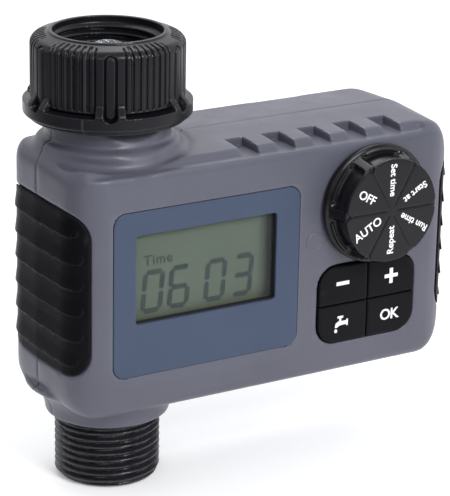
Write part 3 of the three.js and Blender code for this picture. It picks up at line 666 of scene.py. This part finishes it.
def case_screws():
    """Pan head screws with a cross recess, seen from the back."""
    g = Grid((-3.2, 7.6, -3.2), (3.2, 11.6, 3.2), 0.12)
    r = np.hypot(g.x, g.z)
    head = both(np.hypot(r, (g.y - 5.2) * 0.9) - 5.1, r - 2.6, 0.3)
    head = both(head, 8.9 - g.y, 0.1)
    arm = both(slab(g.x, -0.42, 0.42), slab(g.z, -1.7, 1.7))
    other = both(slab(g.z, -0.42, 0.42), slab(g.x, -1.7, 1.7))
    cross = both(join(arm, other), 9.3 + 0.25 * r - g.y)
    field = less(head, cross, 0.1)
    for i, (x, z) in enumerate(SCREWS, 1):
        head_piece = solid(f"screw_head_{i}", g, field, STEEL)
        head_piece.data.transform(Matrix.Translation(Vector((x, 0, z)) * MM))
        place(head_piece, "case", f"case_screw_{i}", slot="steel")
        turns = np.linspace(0, 80, 240)
        path = [(x + 1.15 * math.cos(t), 9 - t * 0.19, z + 1.15 * math.sin(t)) for t in turns]
        thread = tubes(f"screw_thread_{i}", [path], 0.28, STEEL, 5)
        place(thread, "case", slot="steel")
        core = [(0, -8.5), (0.5, -8.4), (1.1, -7.6), (1.1, 9.2), (0, 9.2)]
        lay = Matrix.Rotation(math.radians(-90), 4, "X")
        lie_back = Matrix.Translation(Vector((x, 0, z)) * MM) @ lay
        place(turned(f"screw_core_{i}", core, STEEL, 20, lie_back), "case", slot="steel")


# --- water way -----------------------------------------------------------------------------------


def thread_wave(g):
    """1 on the crest and 0 in the root of a right-hand helix."""
    phase = (g.z / PITCH - np.arctan2(g.y, g.x) / (2 * math.pi)) % 1.0
    wave = 1 - np.abs(phase - 0.5) * 2
    return np.clip(wave * 1.25 - 0.1, 0, 1)


def nut_skin(g, r):
    """Outer radius of the nut in six sectors: ribbed panels with a slot under each, upright pills between."""
    turn = np.degrees(np.arctan2(g.y, g.x)) - NUT_TURN
    off = np.abs((turn + 30) % 60 - 30)
    across = np.radians(off) * NUT_BODY
    middle = np.radians(30 - off) * NUT_BODY

    on_panel = ramp(middle - PANEL_HALF, 0.6)
    strip_flare = 1 - ramp(-(g.z + 15.2), 3.0)
    panel_flare = 1 - ramp(-(g.z + 16.6), 0.6)
    skirt = NUT_FLARE * (strip_flare * (1 - on_panel) + panel_flare * on_panel)

    panel = both(both(middle - PANEL_HALF, 15.2 - r, 1.2), -15.5 - g.z, 0.5)
    teeth = np.clip((np.cos(2 * math.pi * middle / RIB_PITCH) + 0.45) / 0.55, 0, 1)
    ribs = RIB_DEPTH * ramp(panel, 0.3) * (1 - teeth)
    under = rect(middle, g.z, (-PANEL_HALF - 9, PANEL_HALF, -16.75, -16.1), 0.3)
    slot = 1.3 * ramp(under, 0.25)
    skin = NUT_BODY + skirt - ribs - slot

    pill = np.hypot(across, np.maximum(np.abs(g.z + 9.8) - 6.3, 0)) - 1.25
    inside = ramp(pill - 0.32, 0.15)
    skin = skin * (1 - inside) + inside * (NUT_BODY - 0.6 + 0.75 * ramp(pill + 0.1, 0.6))
    return skin, ribs


def inlet_nut():
    low = (NUT_LOW[0] - 1, NUT_LOW[1] - 1, NUT_LOW[2] - 1.6)
    g = Grid(low, (NUT_HIGH[0] + 1, NUT_HIGH[1] + 1, 1.0), 0.19)
    r = np.hypot(g.x, g.y)
    skin, ribs = nut_skin(g, r)
    shoulder = (g.z + 0.55 + (r - 14.7) * 0.26) * 0.96 + ribs * 0.9
    whole = both((r - skin) * 0.9, shoulder, 1.5)
    whole = both(whole, -20.1 - g.z, 0.6)
    lip = both(r - 19.2, slab(g.z, -21.1, -19.0), 0.3)
    whole = join(whole, lip)
    rim = both(slab(r, 13.2, 14.4), slab(g.z, -1.6, 0.0), 0.3)
    whole = join(whole, rim, 0.15)

    thread = 1.05 * thread_wave(g) * ramp(g.z + 2.2, 1.6)
    mouth = NUT_MOUTH - thread - 0.15 * ramp(g.z + 2.0, 1.0) - r
    whole = less(whole, both(-mouth, NUT_SEAT_Z - g.z), 0.1)
    whole = less(whole, r - PASSAGE)
    whole = less(whole, both(r - 16.3, g.z + 20.5), 0.2)
    place(solid("tap_nut", g, whole, NUT_BLACK), "nut", "inlet_nut", slot="black_plastic")


def strainer():
    """Woven wire dome in a plastic ring."""
    rim, foot, tip = 8.1, -12.4, -3.0
    step = 0.62

    def dome(x, y):
        inside = max(1 - (x * x + y * y) / (rim * rim), 0)
        return foot + (tip - foot) * inside**0.42

    paths = []
    count = int(rim / step)
    for i in range(-count, count + 1):
        across = i * step
        reach = math.sqrt(max(rim * rim - across * across, 0))
        if reach < 1:
            continue
        for flip in (0, 1):
            points = []
            for t in np.linspace(-1, 1, 61):
                along = reach * math.sin(t * math.pi / 2)
                x, y = (along, across) if flip else (across, along)
                lift = 0.09 * math.cos(math.pi * (along / step + i + flip))
                points.append((x, y, dome(x, y) + lift))
            paths.append(points)
    wires = tubes("strainer_wires", paths, 0.12, MESH_STEEL, 5)
    place(wires, "case", "inlet_strainer", slot="steel")
    ring = [(6.5, -13.6), (8.2, -13.6), (8.2, -12.5), (7.9, -12.1), (7.3, -12.1), (6.9, -12.6)]
    place(turned("strainer_ring", ring, INNER, 64), "case", slot="inner_plastic")


def valve_body():
    """Outlet barrel with its thread, the ball chamber, and the boss that the stem passes through."""
    g = Grid(VALVE_LOW - 1, VALVE_HIGH + 1, 0.28)
    r = np.hypot(g.x, g.y)
    end = VALVE_LOW[2]
    reach = ROOT + (CREST - ROOT) * thread_wave(g)
    reach = np.minimum(reach, ROOT + 0.15 + (g.z - end) * 0.9)
    screw = both(both((r - reach) * 0.8, end - g.z, 0.25), g.z + 98.2)
    relief = both(r - 12.3, slab(g.z, -99.0, -97.0))
    upper = both(r - 13.3, slab(g.z, -98.0, -92.0), 0.4)
    barrel = both(r - 12.2, slab(g.z, -93.0, -76.0))
    chamber = both(r - 13.0, slab(g.z, -77.0, -51.0), 0.5)
    from_stem = np.hypot(g.y, g.z - STEM_Z)
    boss = both(both(from_stem - 5.4, 10.5 - g.x), g.x - 15.6, 0.4)
    body = screw
    for part in (relief, upper, barrel, chamber, boss):
        body = join(body, part, 0.3)
    body = less(body, both(r - 9.2, g.z + 90), 0.3)
    body = less(body, r - 7.6)
    body = less(body, both(r - PASSAGE, -72.4 - g.z))
    body = less(body, both(from_stem - 3.6, 8 - g.x))
    place(solid("valve_barrel", g, body, OUTLET_BLACK), "case", "valve_body", slot="black_plastic")


# --- front panel ---------------------------------------------------------------------------------


def bezel():
    g = Grid(BEZEL_LOW - 1, BEZEL_HIGH + 1, 0.2)
    u0, u1, v0, v1 = BEZEL_LOW[0], BEZEL_HIGH[0], BEZEL_LOW[2], BEZEL_HIGH[2]
    plate = both(rect(g.x, g.z, (u0, u1, v0, v1), 3.4), slab(g.y, BEZEL_LOW[1], BEZEL_HIGH[1]), 0.15)
    plate = less(plate, rect(g.x, g.z, WINDOW, 0.8), 0.12)
    place(solid("display_bezel", g, plate, PANEL, 0.004), "case", "lcd_bezel", slot="panel")


def window_mask():
    """Black sleeve between the bezel's window and the display."""
    u0, u1, v0, v1 = grown(WINDOW, 1.5)
    g = Grid((u0, FRONT + 0.9, v0), (u1, MODULE_LOW[1] + 0.6, v1), 0.2)
    outer = rect(g.x, g.z, grown(WINDOW, 0.55), 1.3)
    inner = rect(g.x, g.z, grown(WINDOW, -0.02), 0.8)
    sleeve = both(less(outer, inner), slab(g.y, FRONT + 1.3, MODULE_LOW[1] - 0.02))
    place(solid("display_sleeve", g, sleeve, INNER, 0.004), "case", slot="inner_plastic")


def lens():
    u0, u1, v0, v1 = grown(WINDOW, 1)
    g = Grid((u0, LENS_LOW[1] - 1, v0), (u1, LENS_HIGH[1] + 1, v1), 0.25)
    pane = rect(g.x, g.z, grown(WINDOW, -0.05), 0.8)
    field = both(pane, slab(g.y, LENS_LOW[1], LENS_HIGH[1]), 0.2)
    place(solid("display_window", g, field, CLEAR, 0.004), "case", "lcd_lens", slot="lens")


SEGMENTS = {"0": "abcdef", "3": "abcdg", "6": "acdefg"}


def digit(char, x, z):
    """Outlines of one slanted seven-segment digit, centred on x, with its lower bar at z."""
    width, half, thick, lean = 4.75, 4.85, 0.66, 0.085
    tip, shoulder = 0.18, 0.62
    bars = {
        "a": ((0, 2 * half), (width, 2 * half)),
        "g": ((0, half), (width, half)),
        "d": ((0, 0), (width, 0)),
        "f": ((0, half), (0, 2 * half)),
        "b": ((width, half), (width, 2 * half)),
        "e": ((0, 0), (0, half)),
        "c": ((width, 0), (width, half)),
    }
    outlines = []
    for key in SEGMENTS[char]:
        (u0, v0), (u1, v1) = bars[key]
        length = math.hypot(u1 - u0, v1 - v0)
        du, dv = (u1 - u0) / length, (v1 - v0) / length
        upper = [(tip, 0), (shoulder, thick), (length - shoulder, thick)]
        shape = upper + [(length - along, -off) for along, off in upper]
        outline = []
        for along, off in shape:
            u, v = u0 + du * along - dv * off, v0 + dv * along + du * off
            outline.append((x - width / 2 + u + lean * v, z + v))
        outlines.append(outline)
    return outlines


def display():
    g = Grid(MODULE_LOW - 1, MODULE_HIGH + 1, 0.35)
    area = (MODULE_LOW[0], MODULE_HIGH[0], MODULE_LOW[2], MODULE_HIGH[2])
    field = both(rect(g.x, g.z, area, 1.0), slab(g.y, MODULE_LOW[1], MODULE_HIGH[1]), 0.2)
    place(solid("display_cell", g, field, DISPLAY, 0.004), "case", "lcd_module", slot="display")
    face = MODULE_LOW[1]
    outlines = []
    for char, x in zip("0603", (1.9, 9.25, 19.4, 27.1)):
        outlines += digit(char, x, -65.75)
    place(print_on("display_digits", outlines, face, 0.06, SEGMENT), "case", slot="display")
    word = lettering("display_word", "Time", 3.6, 3.8, -53.0, face, 0, SEGMENT, 0.06, 1.1, 0.07)
    place(word, "case", slot="display")


# word, its direction in degrees, its distance from the axis, its letter height
DIAL_LABELS = (
    ("Start at", 30, 7.9, 2.5),
    ("Set time", 90, 7.9, 2.5),
    ("OFF", 150, 8.7, 3.1),
    ("AUTO", 210, 8.0, 3.1),
    ("Repeat", 270, 7.7, 2.6),
    ("Run time", 330, 7.8, 2.5),
)


def dial():
    """Six-sided selector: bowls for the fingers round a cone, notches and fine grooves between sectors."""
    cx, cz = DIAL_X, DIAL_Z
    reach = DIAL_SKIRT + 1
    low = (cx - reach, FRONT - DIAL_HEIGHT - 0.8, cz - reach)
    g = Grid(low, (cx + reach, FRONT + 0.4, cz + reach), 0.17)
    u, w, h = g.x - cx, g.z - cz, FRONT - g.y
    r = np.hypot(u, w)
    angle = np.degrees(np.arctan2(w, u)) % 60
    off = np.abs(angle - 30)
    arc = np.radians(off) * 13.0
    edge = np.radians(30 - off) * r

    skirt = both(r - DIAL_SKIRT, slab(h, 0.4, 2.3), 0.5)
    lean = math.atan2(DIAL_SKIRT - 0.7 - DIAL_FACE, DIAL_HEIGHT - 2.0)
    cone = (r - DIAL_SKIRT + 0.6) * math.cos(lean) + (h - 2.0) * math.sin(lean)
    crown = both(both(cone, h - DIAL_HEIGHT, 0.15), 1.0 - h)
    knob = join(skirt, crown, 0.3)

    bowl = both(12.3 + 0.14 * (DIAL_HEIGHT - h) - r, arc - 5.7, 1.3)
    bowl = both(bowl, np.abs(h - 5.3) - 2.5, 1.0)
    knob = less(knob, bowl, 0.3)
    rib = both(both(slab(r, 13.75, 14.5), arc - 4.3, 0.3), slab(h, 1.6, 3.5), 0.3)
    knob = join(knob, rib, 0.15)

    notch = both(edge - (r - 11.9) * 0.8, 11.9 - r)
    notch = both(notch, DIAL_HEIGHT - 0.5 - h)
    knob = less(knob, notch, 0.15)
    valley = DIAL_HEIGHT - 0.32 + np.abs(edge) * 1.1 - h
    groove = both(valley, 1.4 - r)
    knob = less(knob, groove, 0.05)
    socket = both(r - 2.9, h - 4.4)
    knob = less(knob, socket)
    place(solid("selector_dial", g, knob, BLACK, 0.004), "dial", "dial_knob", slot="black_plastic")

    for i, (text, at, far, size) in enumerate(DIAL_LABELS, 1):
        x, z = cx + far * math.cos(math.radians(at)), cz + far * math.sin(math.radians(at))
        face, turn = FRONT - DIAL_HEIGHT, at + 180
        mark = lettering(f"dial_label_{i}", text, size, x, z, face, turn, PRINT, 0.05, 1.0, 0.05)
        place(mark, "dial", slot="black_plastic")


def tap_icon(x, z):
    """A garden tap: cross handle, body with a flange, and a spout with a drop."""
    handle = [(-0.95, 2.05), (0.75, 2.05), (0.75, 1.5), (-0.95, 1.5)]
    stem = [(-0.38, 1.52), (0.2, 1.52), (0.2, 0.55), (-0.38, 0.55)]
    flange = [(1.75, 1.0), (2.2, 1.0), (2.2, -0.75), (1.75, -0.75)]
    body = [(-0.7, 0.62), (1.78, 0.62), (1.78, -0.35), (0.3, -0.4), (-0.55, -0.55)]
    spout = [(-0.7, 0.62), (-0.56, -0.56), (-0.95, -0.95), (-1.65, -0.95), (-1.45, 0.1)]
    turns = np.linspace(0, 2 * math.pi, 15)[:-1]
    drop = [(-1.35 + 0.42 * math.cos(t), -1.85 + 0.5 * math.sin(t)) for t in turns]
    outlines = (handle, stem, flange, body, spout, drop)
    return [[(x + u, z + v) for u, v in outline] for outline in outlines]


def bar(x0, x1, z0, z1):
    return [(x0, z1), (x1, z1), (x1, z0), (x0, z0)]


def keys():
    u0, u1, v0, v1 = KEYS
    cx, cz = (u0 + u1) / 2, (v0 + v1) / 2
    top = FRONT - KEY_RISE
    for name, node, body, sx, sz in (
        ("minus", "button_minus", "minus_key", -1, 1),
        ("plus", "button_plus", "plus_key", 1, 1),
        ("tap", "button_tap", "tap_key", -1, -1),
        ("ok", "button_ok", "ok_key", 1, -1),
    ):
        x0, x1 = (u0, cx) if sx < 0 else (cx, u1)
        z0, z1 = (v0, cz) if sz < 0 else (cz, v1)
        g = Grid((x0 - 0.8, top - 0.8, z0 - 0.8), (x1 + 0.8, -17.9, z1 + 0.8), 0.17)
        plan = rect(g.x, g.z, KEYS, KEYS_CORNER)
        half_gap = 0.16
        plan = both(plan, half_gap - sx * (g.x - cx), 0.3)
        plan = both(plan, half_gap - sz * (g.z - cz), 0.3)
        crown = 0.35 * np.clip(np.hypot((g.x - cx) / 20, (g.z - cz) / 15), 0, 1) ** 2
        field = both(plan, top + crown - g.y, 0.55)
        field = both(field, g.y + 18.6)
        place(solid(f"key_{name}", g, field, KEY_BLACK, 0.004), body, node, slot="black_plastic")
    face, depth = top + 0.12, 0.14
    minus = [bar(53.15, 56.95, -67.2, -66.25)]
    place(print_on("mark_minus", minus, face, depth, PRINT), "minus_key", slot="black_plastic")
    plus = [
        bar(67.75, 71.75, -67.6, -66.65),
        bar(69.25, 70.25, -66.65, -65.1),
        bar(69.25, 70.25, -69.15, -67.6),
    ]
    place(print_on("mark_plus", plus, face, depth, PRINT), "plus_key", slot="black_plastic")
    tap = tap_icon(54.75, -77.5)
    place(print_on("mark_tap", tap, face, depth, PRINT), "tap_key", slot="black_plastic")
    ok = lettering("mark_ok", "OK", 4.0, 69.6, -77.6, face, 0, PRINT, depth, 0.92, 0.07)
    place(ok, "ok_key", slot="black_plastic")


# --- power ---------------------------------------------------------------------------------------


def battery_door():
    u0, u1, v0, v1 = grown(DOOR, 1)
    g = Grid((u0, 14.6, v0), (u1, DOOR_BACK + 1, v1), 0.3)
    plate = both(rect(g.x, g.z, DOOR, 2.0), slab(g.y, 16.4, 17.6), 0.35)
    lip = rect(g.x, g.z, grown(BAY, -GAP), 1.0)
    lip = both(less(lip, lip + 1.0), slab(g.y, 15.4, 16.6))
    plate = both(plate, case_field(g, -0.2))
    door = join(plate, lip)
    dent = np.sqrt((g.x - FINGER_X) ** 2 + (g.y - 25.1) ** 2 + ((g.z + 36) * 0.8) ** 2) - 8.0
    door = less(door, dent, 0.3)
    for i in range(4):
        z = -42 - i * 3
        rib = both(rect(g.x, g.z, (50 + i, 64 - i, z - 0.55, z + 0.55), 0.5), slab(g.y, 17.3, 18.05), 0.2)
        door = join(door, rib, 0.15)
    place(solid("bay_door", g, door, CASING, 0.006), "door", "battery_door", slot="casing")


def cell_x(side):
    return (BAY[0] + BAY[1]) / 2 + side * CELL_PITCH / 2


def cells():
    """Two dry cells side by side, the second one upside down."""
    half = CELL_LENGTH / 2
    z = CELL_FOOT + half
    r = CELL_RADIUS
    top = half - 0.5
    sleeve = [(r - 1, 0.35 - half), (r - 0.3, 0.35 - half), (r, 0.7 - half)]
    sleeve += [(r, half - 0.9), (r - 0.3, top), (r - 1, top)]
    can = [(0, -half), (4.4, -half), (4.6, 0.3 - half), (6.1, 0.3 - half), (6.1, half - 0.4)]
    can += [(3.0, half - 0.3), (2.6, half + 0.1), (2.6, half + 0.8), (2.4, half + 1), (0, half + 1)]
    for i, (side, up) in enumerate(((-1, True), (1, False)), 1):
        at = Matrix.Translation(Vector((cell_x(side), CELL_Y, z + (0.2 if up else -2.0))) * MM)
        if not up:
            at = at @ Matrix.Rotation(math.pi, 4, "X")
        place(turned(f"cell_sleeve_{i}", sleeve, WRAP, 64, at), "case", f"battery_{i}", slot="cell")
        place(turned(f"cell_can_{i}", can, NICKEL, 64, at), "case", slot="steel")


def springs():
    """Conical contact springs: one under the upright cell, one over the other."""
    low = (BAY[2] + 1.5, BAY[2] + 3.6)
    high = (BAY[3] - 1.5, BAY[3] - 3.4)
    for i, (side, (z0, z1)) in enumerate(((-1, low), (1, high)), 1):
        x = cell_x(side)
        path = []
        for t in np.linspace(0, 1, 90):
            a, r = 2 * math.pi * 3 * t, 4.4 - 1.6 * t
            path.append((x + r * math.cos(a), CELL_Y + r * math.sin(a), z0 + (z1 - z0) * t))
        coil = tubes(f"contact_coil_{i}", [path], 0.35, SPRING_STEEL, 8)
        place(coil, "case", f"battery_spring_{i}", slot="steel")


# --- pieces kept from the CAD --------------------------------------------------------------------

KEPT = {
    "dial_spindle": INNER, "rotary_switch": INNER, "keypad_mat": SILICONE, "main_board": BOARD,
    "controller_chip": INNER, "timing_crystal": STEEL, "reserve_capacitor": INNER, "inlet_washer": SEAL,
    "inlet_spigot": BLACK, "neck_seal": SEAL, "valve_ball": ACETAL, "upper_ball_seat": ACETAL,
    "lower_ball_seat": ACETAL, "valve_stem": STEEL, "stem_seal": SEAL, "drive_wheel": ACETAL,
    "motor_pinion": BRASS, "motor_shaft": STEEL, "gear_motor": STEEL, "motor_cradle": INNER,
    "motor_lead_1": LEAD_RED, "motor_lead_2": LEAD_BLACK, "battery_contact_positive": NICKEL,
    "battery_contact_negative": NICKEL, "battery_link_plate": NICKEL,
}


def finish_kept():
    for node, material in KEPT.items():
        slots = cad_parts[node].material_slots
        if not slots:
            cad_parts[node].data.materials.append(material)
        for slot in slots:
            slot.material = material


# --- stage ---------------------------------------------------------------------------------------


def area_light(name, place_at, target, size, energy):
    data = bpy.data.lights.new(name, "AREA")
    data.shape = "RECTANGLE"
    data.size, data.size_y = size
    data.energy = energy
    lamp = bpy.data.objects.new(name, data)
    lamp.location = place_at
    lamp.rotation_euler = (Vector(target) - Vector(place_at)).to_track_quat("-Z", "Y").to_euler()
    bpy.context.scene.collection.objects.link(lamp)


def light_tent():
    """A soft world, dimmer in front and to the left, brighter behind and to the right."""
    world = bpy.data.worlds.new("studio")
    world.use_nodes = True
    tree = world.node_tree
    sky = tree.nodes["Background"]
    sky.inputs["Color"].default_value = (0.96, 0.97, 1.0, 1.0)
    towards = tree.nodes.new("ShaderNodeVectorMath")
    towards.operation = "DOT_PRODUCT"
    towards.inputs[1].default_value = (0.6, 0.72, 0.34)
    tree.links.new(tree.nodes.new("ShaderNodeTexCoord").outputs["Generated"], towards.inputs[0])
    level = tree.nodes.new("ShaderNodeMapRange")
    level.inputs["From Min"].default_value, level.inputs["From Max"].default_value = -1.0, 1.0
    level.inputs["To Min"].default_value, level.inputs["To Max"].default_value = 0.05, 1.1
    tree.links.new(towards.outputs["Value"], level.inputs["Value"])
    tree.links.new(level.outputs[0], sky.inputs["Strength"])
    bpy.context.scene.world = world


def white_floor():
    """White paper with a painted glow, greyed by painted shade far to the left and far in front."""
    reach, z = 6, cad_low.z - 0.0003
    corners = [(-reach, -reach, z), (reach, -reach, z), (reach, reach, z), (-reach, reach, z)]
    mesh = bpy.data.meshes.new("floor")
    mesh.from_pydata(corners, [], [(0, 1, 2, 3)])
    finish = Finish("floor_paper")
    split = finish.node("SeparateXYZ", Vector=finish.space)
    # painted shade: the floor turns grey far to the left and far in front
    lit_left = finish.spread(split.outputs[0], 0, 1, -0.32, -0.045)
    lit_front = finish.spread(split.outputs[1], 0, 1, -0.5, -0.08)
    mottle = finish.spread(finish.noise(3), 0, 1)
    white = finish.blend(mottle, (0.94, 0.94, 0.945, 1), (0.96, 0.96, 0.965, 1))
    nearer = finish.blend(lit_front, (0.35, 0.35, 0.36, 1), white)
    paper = finish.blend(lit_left, (0.12, 0.12, 0.13, 1), nearer)
    finish.drive("Base Color", paper)
    # painted glow: the floor emits light in its own colour
    finish.drive("Emission Color", paper)
    finish.set(Roughness=0.9, Specular_IOR_Level=0.1, Emission_Strength=0.16)
    mesh.materials.append(finish.material)
    floor = bpy.data.objects.new("floor", mesh)
    bpy.context.scene.collection.objects.link(floor)


def stage():
    bpy.context.scene.view_settings.view_transform = "Standard"
    light_tent()
    aim = (0.03, 0.0, -0.06)
    area_light("key", (0.06, -0.44, 0.25), aim, (0.22, 0.16), 2.0)
    area_light("left", (-0.5, -0.55, 0.3), aim, (0.4, 0.4), 0.9)
    area_light("top", (0.15, 0.5, 0.75), aim, (0.8, 0.5), 3.4)
    area_light("fill", (0.9, -0.5, 0.25), aim, (0.6, 0.6), 0.9)
    area_light("back", (-0.8, 0.6, 0.25), aim, (0.6, 0.6), 0.4)
    white_floor()


def camera():
    """Looks down 19 degrees at the front from the left, with a long lens."""
    turn, down, roll = math.radians(31.23), math.radians(19.12), math.radians(1.11)
    ahead = Vector((math.sin(turn), math.cos(turn), 0))
    forward = math.cos(down) * ahead - math.sin(down) * Vector((0, 0, 1))
    level = Vector((math.cos(turn), -math.sin(turn), 0))
    above = level.cross(forward)
    right = math.cos(roll) * level + math.sin(roll) * above
    up = -math.sin(roll) * level + math.cos(roll) * above
    data = bpy.data.cameras.new("camera")
    data.sensor_width = 36
    data.lens = 174.19355
    data.clip_start, data.clip_end = 0.05, 20
    eye = bpy.data.objects.new("camera", data)
    rows = Matrix((right, up, -forward)).transposed().to_4x4()
    eye.matrix_world = Matrix.Translation(Vector((-263.8, -490.7, 138.2)) * MM) @ rows
    bpy.context.scene.collection.objects.link(eye)
    bpy.context.scene.camera = eye


camera()
stage()
front_shell()
rear_shell()
grip(-1, "grip_left", "left_grip")
grip(1, "grip_right", "right_grip")
pointer_mark()
case_screws()
inlet_nut()
strainer()
valve_body()
bezel()
window_mask()
lens()
display()
dial()
keys()
battery_door()
cells()
springs()
finish_kept()
